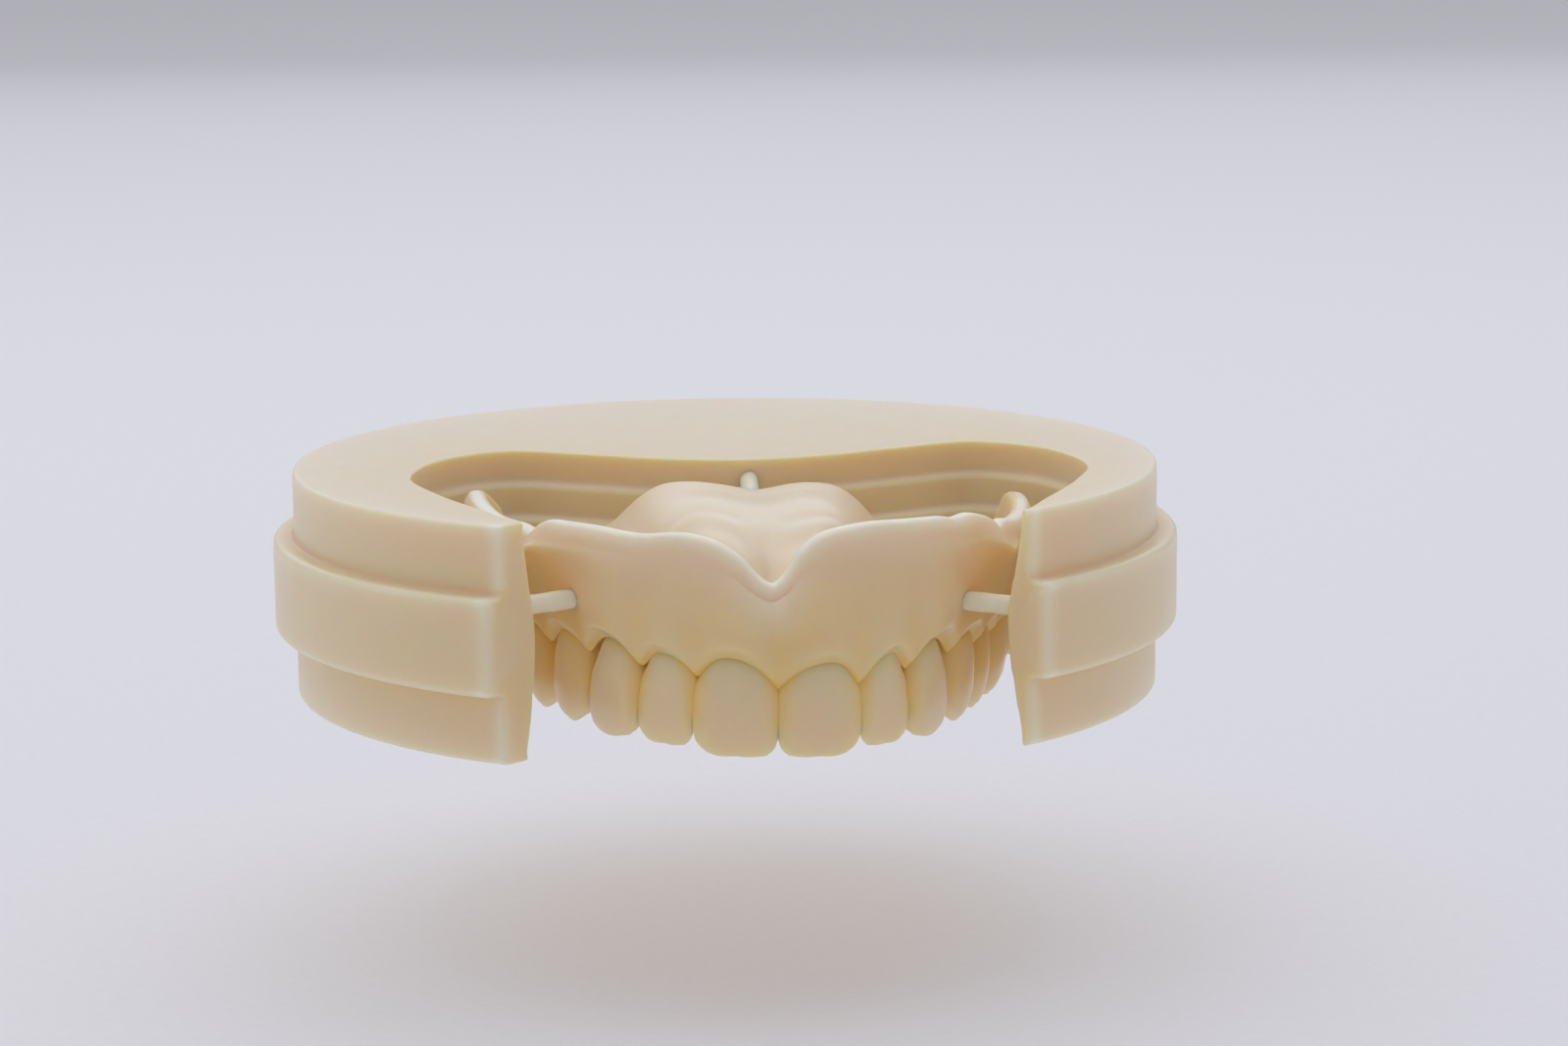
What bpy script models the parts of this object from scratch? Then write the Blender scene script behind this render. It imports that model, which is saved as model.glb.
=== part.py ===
"""A stepped dental milling disc with a full upper denture milled in its pocket.

The disc lies flat, its steps facing outwards. Its front is cut open, so that the denture's
front teeth show. Thin pins hold the denture's base in the pocket, and the teeth hang down
from the base, each in its own socket. Lengths in this script are millimetres, and
mesh_object() makes them metres. Left is the side of -X.
"""

import math

import bmesh
import bpy
from mathutils import Vector
from mathutils.geometry import intersect_line_line_2d

METRES = 0.001
GAP = 0.3
SOCKET_GAP = 0.36

# The disc: an open-system milling blank, turned about a vertical axis.
FLANGE_RADIUS = 49.25
SHOULDER_RADIUS = 47.0
DISC_HEIGHT = 24.2
FLANGE_HEIGHT = 10.0
FLANGE_BOTTOM = (DISC_HEIGHT - FLANGE_HEIGHT) / 2
FLANGE_TOP = FLANGE_BOTTOM + FLANGE_HEIGHT
EDGE_CHAMFER = 0.5

# The front opening: two saw cuts, each through a corner on the flange, towards the back.
LEFT_CUT_DEG = 32.5
RIGHT_CUT_DEG = 37.0
CUT_FACE_DEG = 44.0

# The milled pocket: half its outline in plan, and how far the wall stands in at each height.
POCKET_OUTLINE = (
    (0, -1), (9, 1), (17, 5), (26, 8.6), (33, 3.5),
    (36.3, -8), (33.5, -19), (28.9, -29.5), (24.6, -38), (15, -46),
)
POCKET_WALL = (
    (24.2, 0.0), (20.9, 0.1), (20.2, 0.8), (17.4, 0.9), (16.4, 1.8),
    (7.8, 1.8), (6.8, 0.9), (4.0, 0.8), (3.3, 0.1), (0.0, 0.0),
)

# The denture, in a frame of its own: x from its midline, y from the disc's axis.
MIDLINE_X = 2.2
NESTING_TILT_DEG = 1.8
NESTING_TURN_DEG = 0.8
ARCH_FRONT = -41.6
INCISOR_BULGE = 0.36
ARCH_HALF_WIDTH = 34.5
ARCH_DEPTH = 148.0
ARCH_POWER = 2.62
ARCH_END = 57.6
SPINE_FRONT = -27.0
SPINE_BACK = -3.8
PLATE_THICKNESS = 2.4
BACK_THICKENING = 0.9
BORDER_THICKNESS = 2.6
TUBEROSITY_BOW = 1.6
END_ROUNDING = 2.2

# The border's height along the arch, as (distance from the midline, height). It is higher on the right.
BORDER_HEIGHT = (
    (-58, 18.4), (-54, 20.3), (-46, 20.7), (-38, 20.2), (-31, 20.3), (-22, 22.0), (-14, 22.2), (-9, 21.7),
    (-5, 19.9), (-2.6, 18.0), (-0.8, 17.3), (0.8, 18.1), (3, 20.7), (6, 22.5), (9, 23.1), (14, 23.5),
    (21, 23.2), (25, 21.8), (31, 20.8), (38, 20.9), (46, 21.4), (54, 21.1), (58, 19.2),
)

# Offsets from the arch and heights along either half, as (distance from the midline, value).
BORDER_OFFSET = ((0, -4.4), (10, -3.7), (19, -1.3), (30, 1.7), (42, 3.2), (50, 2.5), (54, 1.5), (58, -1.8))
TROUGH_OFFSET = ((0, -7.4), (19, -5.4), (30, -3.4), (44, -2.6), (58, -2.2))
TROUGH_HEIGHT = ((0, 12.9), (19, 12.7), (44, 12.9), (58, 13.4))
LIP_OFFSET = ((0, 0.4), (19, 0.8), (30, 1.9), (44, 2.5), (54, 1.9), (58, 0.2))
PALATAL_OFFSET = ((0, -7.4), (19, -8.4), (30, -7.6), (44, -8.8), (58, -8.4))
ZENITH_HEIGHT = ((0, 9.6), (19, 10.7), (30, 10.2), (44, 9.4), (58, 9.8))
PAPILLA_HEIGHT = ((0, 6.7), (8, 7.6), (19, 8.4), (44, 8.0), (58, 9.0))

# The palate's height along the midline, and its slopes: (share of the way to the ridge, share of the height).
PALATE_HEIGHT = ((-27, 14.5), (-23, 17.6), (-18, 20.2), (-13, 21.2), (-8, 21.4), (-3.8, 21.9))
TOP_SLOPE = ((0.24, 1.04), (0.36, 0.99), (0.45, 0.82), (0.54, 0.52), (0.64, 0.29), (0.78, 0.1), (1.0, 0.0))
UNDER_SLOPE = ((0.36, 0.98), (0.52, 0.83), (0.7, 0.5), (0.87, 0.18), (1.0, 0.0))

# Teeth from the midline back: name, width, depth, tip height, form.
TEETH = (
    ("central_incisor", 8.6, 6.6, 0.5, "incisor"),
    ("lateral_incisor", 6.6, 6.0, 1.2, "incisor"),
    ("canine", 7.5, 7.6, 0.9, "canine"),
    ("first_premolar", 6.9, 8.6, 0.9, "premolar"),
    ("second_premolar", 6.7, 8.6, 0.9, "premolar"),
    ("first_molar", 10.0, 10.6, 0.9, "molar"),
    ("second_molar", 9.5, 10.2, 1.7, "molar"),
)
ROOT_END = 11.0
CONTACT_GAP = 0.46

# A crown's sections from its tip (0) to its root end (1): share of height, width, depth, centre.
CROWN_SECTIONS = {
    "incisor": (
        (0.0, 0.82, 0.13, -0.05), (0.07, 0.98, 0.24, -0.08), (0.3, 1.0, 0.52, -0.22),
        (0.62, 0.9, 0.86, -0.41), (0.85, 0.77, 0.94, -0.47), (1.0, 0.62, 0.78, -0.52),
    ),
    "canine": (
        (0.0, 0.66, 0.2, -0.08), (0.1, 0.93, 0.42, -0.15), (0.32, 1.0, 0.68, -0.25),
        (0.62, 0.9, 0.9, -0.36), (0.85, 0.77, 0.92, -0.4), (1.0, 0.62, 0.77, -0.44),
    ),
    "premolar": (
        (0.0, 0.66, 0.5, -0.2), (0.12, 0.92, 0.8, -0.22), (0.4, 1.0, 0.97, -0.24),
        (0.65, 0.92, 0.98, -0.25), (0.85, 0.82, 0.93, -0.26), (1.0, 0.66, 0.74, -0.27),
    ),
    "molar": (
        (0.0, 0.76, 0.6, -0.21), (0.12, 0.92, 0.82, -0.22), (0.4, 1.0, 0.96, -0.24),
        (0.65, 0.95, 0.97, -0.25), (0.85, 0.86, 0.92, -0.26), (1.0, 0.72, 0.75, -0.27),
    ),
}
CROWN_TAPER = {"incisor": 0.14, "canine": 0.16, "premolar": 0.06, "molar": 0.04}
CUSPS = {
    "canine": ((0.0, 0.0, 0.9, 9.0, 1.0),),
    "premolar": ((0.0, 0.8, 1.0, 0.7, 1.5), (0.0, -0.7, 0.85, 0.6, 1.1)),
    "molar": (
        (-0.55, 0.75, 0.6, 0.55, 1.3), (0.55, 0.75, 0.55, 0.55, 1.2),
        (-0.45, -0.65, 0.6, 0.6, 1.3), (0.65, -0.7, 0.45, 0.5, 0.9),
    ),
}

# Connector pins, each from its end in the disc's wall to its end in the base.
PIN_RADIUS = 1.0
PINS = (
    ("connector_front_left", (-26.7, -35.6, 15.1), (-18.5, -29.4, 14.9)),
    ("connector_front_right", (27.2, -34.8, 13.7), (19.1, -29.0, 13.6)),
    ("connector_rear", (0.3, 0.4, 22.2), (0.3, -5.6, 20.35)),
)

# Mesh resolution.
RING_STEPS = 76
CROWN_SIDES = 14


def clear_scene():
    for obj in list(bpy.data.objects):
        bpy.data.objects.remove(obj)


def material(name, colour, roughness):
    made = bpy.data.materials.new(name)
    made.use_nodes = True
    shader = made.node_tree.nodes["Principled BSDF"]
    shader.inputs["Base Color"].default_value = (*colour, 1.0)
    shader.inputs["Roughness"].default_value = roughness
    shader.inputs["Metallic"].default_value = 0.0
    return made


def mesh_object(name, points, faces, look, parent):
    """One closed mesh from points in millimetres."""
    mesh = bpy.data.meshes.new(name)
    work = bmesh.new()
    verts = [work.verts.new(Vector(p) * METRES) for p in points]
    for face in faces:
        work.faces.new([verts[i] for i in face])
    bmesh.ops.remove_doubles(work, verts=work.verts, dist=1e-6)
    bmesh.ops.recalc_face_normals(work, faces=work.faces)
    work.to_mesh(mesh)
    work.free()
    mesh.materials.append(look)
    mesh.shade_smooth()
    mesh.set_sharp_from_angle(angle=math.radians(35))
    obj = bpy.data.objects.new(name, mesh)
    bpy.context.scene.collection.objects.link(obj)
    obj.parent = parent
    return obj


def cut(obj, cutter):
    """Takes the cutter's shape out of obj, and keeps the cutter out of the model."""
    cutter.hide_render = True
    cutter.display_type = "WIRE"
    boolean = obj.modifiers.new(cutter.name, "BOOLEAN")
    boolean.operation = "DIFFERENCE"
    boolean.solver = "EXACT"
    boolean.object = cutter


def lerp(a, b, share):
    return a + (b - a) * share


def smooth_step(low, high, value):
    share = min(1.0, max(0.0, (value - low) / (high - low)))
    return share * share * (3 - 2 * share)


def along(stations, place):
    """A value read from (place, value) stations, on a smooth curve through them."""
    last = len(stations) - 1
    if place <= stations[0][0]:
        return stations[0][1]
    if place >= stations[last][0]:
        return stations[last][1]
    i = next(i for i in range(last) if place <= stations[i + 1][0])
    (x0, y0), (x1, y1) = stations[i], stations[i + 1]

    def slope(k):
        if k == 0 or k == last:
            return 0.0
        before = (stations[k][1] - stations[k - 1][1]) / (stations[k][0] - stations[k - 1][0])
        after = (stations[k + 1][1] - stations[k][1]) / (stations[k + 1][0] - stations[k][0])
        return 0.0 if before * after <= 0 else 2 * before * after / (before + after)

    t, span = (place - x0) / (x1 - x0), x1 - x0
    return (
        (2 * t**3 - 3 * t**2 + 1) * y0 + (t**3 - 2 * t**2 + t) * span * slope(i)
        + (3 * t**2 - 2 * t**3) * y1 + (t**3 - t**2) * span * slope(i + 1)
    )


def rounded_curve(points, steps):
    """A Catmull-Rom curve through the points, with that many steps for each span."""
    ends = [points[0] * 2 - points[1], *points, points[-1] * 2 - points[-2]]
    curve = []
    for a, b, c, d in zip(ends, ends[1:], ends[2:], ends[3:]):
        for k in range(steps):
            t = k / steps
            square, cube = a * 2 - b * 5 + c * 4 - d, b * 3 - a - c * 3 + d
            curve.append(0.5 * (b * 2 + (c - a) * t + square * t**2 + cube * t**3))
    return [*curve, points[-1]]


# The ring of the disc that is left round the pocket.


def cut_line(side):
    """A saw cut in plan: its corner on the flange's edge, and its direction into the disc."""
    turn = math.radians(LEFT_CUT_DEG if side < 0 else RIGHT_CUT_DEG)
    corner = Vector((side * FLANGE_RADIUS * math.sin(turn), -FLANGE_RADIUS * math.cos(turn)))
    face = math.radians(CUT_FACE_DEG)
    return corner, Vector((-side * math.cos(face), math.sin(face)))


def between_cuts(line):
    """The stretch of a line, from left front round the back to right front, between the cuts."""

    def crossing(points, side):
        corner, into = cut_line(side)
        start, end = corner - into * 20, corner + into * 20
        for i, (a, b) in enumerate(zip(points, points[1:])):
            hit = intersect_line_line_2d(a, b, start, end)
            if hit:
                return i, hit
        raise ValueError("a line of the ring misses a saw cut")

    first, left = crossing(line, -1)
    last, right = crossing(line, 1)
    return [left, *line[first + 1 : last + 1], right]


def spaced(line, count):
    """Points along a line, the same distance apart."""
    reach = [0.0]
    for a, b in zip(line, line[1:]):
        reach.append(reach[-1] + (b - a).length)
    found, i = [], 0
    for k in range(count + 1):
        goal = reach[-1] * k / count
        while i < len(line) - 2 and reach[i + 1] < goal:
            i += 1
        span = reach[i + 1] - reach[i]
        found.append(line[i].lerp(line[i + 1], (goal - reach[i]) / span if span else 0.0))
    return found


def disc_circle(radius):
    start, steps = math.radians(-90), 360
    turns = [start - math.tau * k / steps for k in range(steps + 1)]
    return [Vector((radius * math.cos(a), radius * math.sin(a))) for a in turns]


def pocket_line(inset):
    """The pocket's outline in plan, from left front round the back, moved in by the inset."""
    half = [Vector(p) for p in POCKET_OUTLINE]
    left = [Vector((-p.x, p.y)) for p in reversed(half[1:])]
    line = [p + Vector((MIDLINE_X, 0)) for p in rounded_curve(left + half, 8)]
    moved = []
    for before, here, after in zip([line[0], *line], line, [*line[1:], line[-1]]):
        run = (after - before).normalized()
        moved.append(here + Vector((run.y, -run.x)) * inset)
    return moved


def ring_section():
    """The ring's section: (height, line in plan) from the bottom, up its outside and down its wall."""
    r, f, c = SHOULDER_RADIUS, FLANGE_RADIUS, EDGE_CHAMFER
    outside = [
        (0, r - c), (c, r), (FLANGE_BOTTOM, r), (FLANGE_BOTTOM, f - c), (FLANGE_BOTTOM + c, f),
        (FLANGE_TOP - c, f), (FLANGE_TOP, f - c), (FLANGE_TOP, r), (DISC_HEIGHT - c, r), (DISC_HEIGHT, r - c),
    ]
    section = [(z, disc_circle(radius)) for z, radius in outside]
    return section + [(z, pocket_line(inset)) for z, inset in POCKET_WALL]


def build_disc_ring(look, parent):
    rows = [[(*p, z) for p in spaced(between_cuts(line), RING_STEPS)] for z, line in ring_section()]
    columns = list(zip(*rows))
    size = len(rows)
    points = [p for column in columns for p in column]
    faces = [tuple(range(size)), tuple(range(RING_STEPS * size, (RING_STEPS + 1) * size))]
    for i in range(RING_STEPS):
        for j in range(size):
            a, b = i * size + j, i * size + (j + 1) % size
            faces.append((a, a + size, b + size, b))
    return mesh_object("disc_ring", points, faces, look, parent)


# The denture's base: sections across the arch, from the palate's midline out to the border.


def make_arch():
    """The arch as (distance, x, y), from the midline along one half."""
    rows, steps, reach = [(0.0, 0.0, ARCH_FRONT)], 600, 32.0
    for k in range(1, steps + 1):
        x = reach * k / steps
        y = ARCH_FRONT + ARCH_DEPTH * (1 - (1 - (x / ARCH_HALF_WIDTH) ** ARCH_POWER) ** (1 / ARCH_POWER))
        s, x0, y0 = rows[-1]
        rows.append((s + math.hypot(x - x0, y - y0), x, y))
    return rows


ARCH = make_arch()


def arch_place(s):
    """The arch's point in plan at a distance from the midline, negative to the left."""
    goal = abs(s)
    i = next(i for i in range(len(ARCH) - 1) if goal <= ARCH[i + 1][0])
    (s0, x0, y0), (s1, x1, y1) = ARCH[i], ARCH[i + 1]
    share = (goal - s0) / (s1 - s0)
    return Vector((math.copysign(lerp(x0, x1, share), s), lerp(y0, y1, share)))


def tooth_edges():
    """Where each tooth ends along half the arch, starting with the midline."""
    edges = [0.0]
    for _, width, *_ in TEETH:
        edges.append(edges[-1] + width)
    return edges


def spine_place(u):
    """Where a section starts on the midline, for its share u of the way round the arch."""
    return Vector((0.0, lerp(SPINE_FRONT, SPINE_BACK, u**1.48)))


def margin_height(s):
    """The height of the gum's edge: high in the middle of a tooth, low between two teeth."""
    goal = abs(s)
    edges = tooth_edges()
    across = 1.0
    for low, high in zip(edges, edges[1:]):
        if low <= goal <= high:
            across = abs(2 * (goal - low) / (high - low) - 1)
    return lerp(along(ZENITH_HEIGHT, goal), along(PAPILLA_HEIGHT, goal), across**2.4)


def slope_points(reach, foot, low, high, shares):
    """Points of a palatal slope, from near the midline out to its foot at the ridge."""
    return [(lerp(-reach, foot, away), lerp(low, high, height)) for away, height in shares]


def section_curves(s):
    """The section at s, as (offset from the arch, height): its top and its underside, both to the border."""
    goal = abs(s)
    u = goal / ARCH_END
    spine = spine_place(u)
    reach = (arch_place(s) - spine).length
    palate = along(PALATE_HEIGHT, spine.y)
    border, edge = along(BORDER_OFFSET, goal), along(BORDER_HEIGHT, s)
    trough, floor = along(TROUGH_OFFSET, goal), along(TROUGH_HEIGHT, goal)
    lip, margin, zenith = along(LIP_OFFSET, goal), margin_height(s), along(ZENITH_HEIGHT, goal)
    palatal = along(PALATAL_OFFSET, goal)
    half = BORDER_THICKNESS / 2
    inner = border - half

    top = [(-reach, palate), *slope_points(reach, trough, floor, palate, TOP_SLOPE)]
    top += [
        (lerp(trough, inner, 0.3), floor + 0.1),
        (lerp(trough, inner, 0.65), floor + 0.9),
        (inner - 0.25, lerp(floor, edge, 0.38)),
        (inner - 0.05, lerp(floor, edge, 0.72)),
        (border - 0.42 * BORDER_THICKNESS, edge - 0.75),
        (border, edge),
    ]
    ceiling = palate - PLATE_THICKNESS
    under = [(-reach, ceiling - BACK_THICKENING * smooth_step(0.7, 0.95, u))]
    under += slope_points(reach, palatal, 9.3, ceiling, UNDER_SLOPE)
    under += [
        (palatal + 1.3, 8.2),
        (lerp(palatal, lip, 0.55), 8.2),
        (lip - 1.3, margin - 0.1),
        (lip - 0.05, margin + 0.6),
        (lip - 0.15, zenith + 1.5),
        (lerp(lip, border + half, 0.45) - 0.1, lerp(zenith, edge, 0.45)),
        (border + half + 0.1, edge - 2.6),
    ]
    return reach, top, [*under, (border, edge)]


def bowed(s, offset, reach, height):
    """A point of a section in the denture's frame: the tuberosities bow back behind the palate."""
    u = abs(s) / ARCH_END
    across = 1 + offset / reach
    place = spine_place(u).lerp(arch_place(s), across)
    over_ridge = smooth_step(0.4, 0.8, across) * (1 - smooth_step(0.95, 1.15, across))
    bow = TUBEROSITY_BOW * smooth_step(0.8, 1.0, u) * over_ridge
    return (place.x, place.y + bow, height)


def rounding(s):
    """How much of its thickness the base keeps near its back end, which is round."""
    left = (ARCH_END - abs(s)) / END_ROUNDING
    return 1.0 if left >= 1 else 0.25 + 0.75 * math.sqrt(max(0.0, 1 - (1 - left) ** 2))


def section_stops():
    """Where the sections stand: four to a tooth, then closer at the round back end."""
    half = []
    edges = tooth_edges()
    for low, high in zip(edges, edges[1:]):
        half += [lerp(low, high, q) for q in (0.14, 0.5, 0.86, 1.0)]
    half.insert(1, lerp(edges[0], edges[1], 0.32))
    half += [ARCH_END - END_ROUNDING * 0.4, ARCH_END]
    return [-s for s in reversed(half)] + [0.0] + half


def build_base(look, parent):
    stops = section_stops()
    points, faces = [], []
    for s in stops:
        reach, top, under = section_curves(s)
        keep = rounding(s)
        for (r0, z0), (r1, z1) in zip(top, under):
            middle = ((r0 + r1) / 2, (z0 + z1) / 2)
            for r, z in ((r0, z0), (r1, z1)):
                points.append(bowed(s, lerp(middle[0], r, keep), reach, lerp(middle[1], z, keep)))
    count = len(top)
    size = 2 * count
    for i in range(len(stops) - 1):
        for j in range(count - 1):
            a = i * size + 2 * j
            faces.append((a, a + 2, a + size + 2, a + size))
            faces.append((a + 1, a + size + 1, a + size + 3, a + 3))
    for first in (0, (len(stops) - 1) * size):
        for j in range(count - 1):
            a = first + 2 * j
            faces.append((a, a + 1, a + 3, a + 2))
    first_at = {}
    weld = [first_at.setdefault(tuple(round(c, 4) for c in p), i) for i, p in enumerate(points)]
    tidy = [tuple(dict.fromkeys(weld[i] for i in face)) for face in faces]
    return mesh_object("denture_base", points, [face for face in tidy if len(face) > 2], look, parent)


# The teeth: sections stacked from the tip up to the root end, and a cap with the cusps.


def crown_relief(form, x, y, side):
    """How far above the tip the chewing surface lies, at a place from -1 to 1 each way."""
    if form == "incisor":
        return 0.6 * max(0.0, x * side) ** 4 + 0.3 * abs(x) ** 6
    cusps = CUSPS[form]
    deepest = max(height for *_, height in cusps)
    rise = 0.0
    for cx, cy, wide, deep, height in cusps:
        rise = max(rise, height * math.exp(-(((x - cx * side) / wide) ** 2) - ((y - cy) / deep) ** 2))
    return deepest - rise


def tooth_points(tooth, side, middle, grow):
    """Rings of points from the middle of the chewing surface out and up to the root end."""
    _, width, depth, tip, form = tooth
    sections = CROWN_SECTIONS[form]
    root = ROOT_END + grow
    ahead = (arch_place(middle + 0.5) - arch_place(middle - 0.5)).normalized()
    outward = Vector((ahead.y, -ahead.x))
    centre = arch_place(middle)

    def ring(share, wide, deep, shift, shrink=1.0):
        across = (width - CONTACT_GAP) / 2 * wide + grow
        out = depth / 2 * deep + grow
        power = lerp(0.62, 0.9, min(1.0, share * 1.6))
        found = []
        for k in range(CROWN_SIDES):
            turn = math.tau * (k + 0.5) / CROWN_SIDES
            x = math.copysign(abs(math.cos(turn)) ** power, math.cos(turn)) * shrink
            y = math.copysign(abs(math.sin(turn)) ** power, math.sin(turn)) * shrink
            low = tip - grow + crown_relief(form, x, y, side)
            narrow = 1 + CROWN_TAPER[form] * (y - 0.3)
            plan = centre + ahead * (x * across * narrow) + outward * (y * out + shift * depth)
            found.append((plan.x, plan.y, lerp(low, root, share)))
        return found

    chewing = [ring(*sections[0], shrink=0.45)] if form in ("premolar", "molar") else []
    return chewing + [ring(*section) for section in sections]


def build_tooth(tooth, name, side, middle, grow, look, parent):
    rings = tooth_points(tooth, side, middle, grow)
    sides = CROWN_SIDES
    points = [p for ring in rings for p in ring]
    low, high = len(points), len(points) + 1
    for ring in (rings[0], rings[-1]):
        points.append([sum(p[axis] for p in ring) / sides for axis in range(3)])
    faces = []
    for k in range(sides):
        after = (k + 1) % sides
        faces.append((low, after, k))
        for i in range(len(rings) - 1):
            a, b = i * sides + k, i * sides + after
            faces.append((a, b, b + sides, a + sides))
        top = (len(rings) - 1) * sides
        faces.append((high, top + k, top + after))
    return mesh_object(name, points, faces, look, parent)


def build_teeth(base, look, parent):
    edges = tooth_edges()
    for side, word in ((-1, "left"), (1, "right")):
        for tooth, low, high in zip(TEETH, edges, edges[1:]):
            middle = side * (low + high) / 2
            name = f"{tooth[0]}_{word}"
            build_tooth(tooth, name, side, middle, 0.0, look, parent)
            cut(base, build_tooth(tooth, f"socket_{name}", side, middle, SOCKET_GAP, look, parent))


# The connector pins, each in a blind socket at both ends.


def rod(name, start, end, radius, look, parent):
    sides = 14
    start, end = Vector(start), Vector(end)
    run = (end - start).normalized()
    side = run.cross(Vector((0, 0, 1))).normalized()
    up = side.cross(run)
    points = []
    for centre in (start, end):
        for k in range(sides):
            turn = math.tau * k / sides
            points.append(centre + (side * math.cos(turn) + up * math.sin(turn)) * radius)
    faces = [tuple(range(sides)), tuple(range(sides, 2 * sides))]
    faces += [(k, (k + 1) % sides, sides + (k + 1) % sides, sides + k) for k in range(sides)]
    return mesh_object(name, points, faces, look, parent)


def build_pins(ring, base, look, parent):
    for name, wall_end, base_end in PINS:
        wall_end, base_end = (Vector((x + MIDLINE_X, y, z)) for x, y, z in (wall_end, base_end))
        rod(name, wall_end, base_end, PIN_RADIUS, look, parent)
        run = (base_end - wall_end).normalized() * GAP
        middle = (wall_end + base_end) / 2
        cut(ring, rod(f"hole_ring_{name}", wall_end - run, middle, PIN_RADIUS + GAP, look, parent))
        cut(base, rod(f"hole_base_{name}", middle, base_end + run, PIN_RADIUS + GAP, look, parent))


def empty(name, place, tilt, turn, parent):
    """A frame that pieces are parented to, tilted about the Y axis and turned about the Z axis."""
    made = bpy.data.objects.new(name, None)
    bpy.context.scene.collection.objects.link(made)
    made.location = Vector(place) * METRES
    made.rotation_euler = (0.0, math.radians(tilt), math.radians(turn))
    made.parent = parent
    return made


def main():
    clear_scene()
    ivory = material("ivory_resin", (0.74, 0.62, 0.44), 0.42)
    enamel = material("tooth_resin", (0.76, 0.66, 0.49), 0.36)

    incisor_front = ARCH_FRONT - INCISOR_BULGE
    disc = empty("disc_axis", (0.0, -(FLANGE_RADIUS + incisor_front) / 2, 0.0), 0.0, 0.0, None)
    shift = ARCH_FRONT * math.sin(math.radians(NESTING_TURN_DEG))
    denture = empty("denture_frame", (MIDLINE_X + shift, 0.0, 0.0), NESTING_TILT_DEG, NESTING_TURN_DEG, disc)

    ring = build_disc_ring(ivory, disc)
    base = build_base(ivory, denture)
    build_teeth(base, enamel, denture)
    build_pins(ring, base, ivory, disc)


main()
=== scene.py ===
import math

import bmesh
import bpy
import numpy as np
from mathutils import Euler, Matrix, Vector


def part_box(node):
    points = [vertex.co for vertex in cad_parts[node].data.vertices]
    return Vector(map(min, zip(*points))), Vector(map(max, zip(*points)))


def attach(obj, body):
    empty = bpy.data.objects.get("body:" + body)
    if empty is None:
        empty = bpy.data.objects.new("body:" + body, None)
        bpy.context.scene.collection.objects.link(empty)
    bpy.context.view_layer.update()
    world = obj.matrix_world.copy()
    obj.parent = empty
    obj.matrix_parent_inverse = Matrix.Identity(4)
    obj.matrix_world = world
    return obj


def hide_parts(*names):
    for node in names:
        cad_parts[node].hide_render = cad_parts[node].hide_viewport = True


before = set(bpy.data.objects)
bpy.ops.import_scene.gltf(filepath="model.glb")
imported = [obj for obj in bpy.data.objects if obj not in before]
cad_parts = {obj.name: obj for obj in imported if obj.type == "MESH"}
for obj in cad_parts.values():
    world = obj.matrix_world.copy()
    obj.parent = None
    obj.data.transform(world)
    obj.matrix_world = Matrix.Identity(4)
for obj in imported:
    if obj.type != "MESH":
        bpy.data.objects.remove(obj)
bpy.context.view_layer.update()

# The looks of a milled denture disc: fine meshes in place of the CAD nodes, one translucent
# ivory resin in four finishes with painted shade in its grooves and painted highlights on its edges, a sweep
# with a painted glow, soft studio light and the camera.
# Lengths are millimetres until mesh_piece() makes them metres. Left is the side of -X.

METRES = 0.001

# The disc, measured on its CAD node.
RING_LOW, RING_HIGH = (np.array(corner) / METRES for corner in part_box("disc_ring"))
FLANGE_RADIUS = (RING_HIGH[0] - RING_LOW[0]) / 2
SHOULDER_RADIUS = FLANGE_RADIUS - 2.25
DISC_HEIGHT = RING_HIGH[2] - RING_LOW[2]
DISC_AXIS = Vector(((RING_LOW[0] + RING_HIGH[0]) / 2, RING_HIGH[1] - FLANGE_RADIUS, 0.0))
FLANGE_HEIGHT = 10.0
FLANGE_BOTTOM = (DISC_HEIGHT - FLANGE_HEIGHT) / 2
FLANGE_TOP = FLANGE_BOTTOM + FLANGE_HEIGHT
LEFT_CUT_DEG = 32.5
RIGHT_CUT_DEG = 37.0
CUT_FACE_DEG = 44.0
POCKET_OUTLINE = (
    (0, -1), (9, 1), (17, 5), (26, 8.6), (33, 3.5),
    (36.3, -8), (33.5, -19), (28.9, -29.5), (24.6, -38), (15, -46),
)
BACK_LEDGES = ((20.6, 0.8), (16.9, 0.95))
LEFT_WALL = ((0, 0.1), (3, 0.6), (6.5, 0.95), (12, 1.35), (16, 0.95), (20.7, 0.35), (24.2, 0.05))
RIGHT_WALL = ((0, -0.05), (5, 0.8), (8, 1.35), (13, 1.75), (16, 1.3), (20.7, 0.4), (24.2, 0.05))

# The denture's frame and arch, as in the CAD model.
MIDLINE_X = 2.2
NESTING_TILT_DEG = 1.8
NESTING_TURN_DEG = 0.8
ARCH_FRONT = -41.6
ARCH_HALF_WIDTH = 34.5
ARCH_DEPTH = 148.0
ARCH_POWER = 2.62
ARCH_END = 57.6
SPINE_FRONT = -27.0
SPINE_BACK = -3.8
PLATE_THICKNESS = 2.4
BACK_THICKENING = 0.9
BORDER_THICKNESS = 2.6
TUBEROSITY_BOW = 1.6
END_ROUNDING = 2.2

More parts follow.
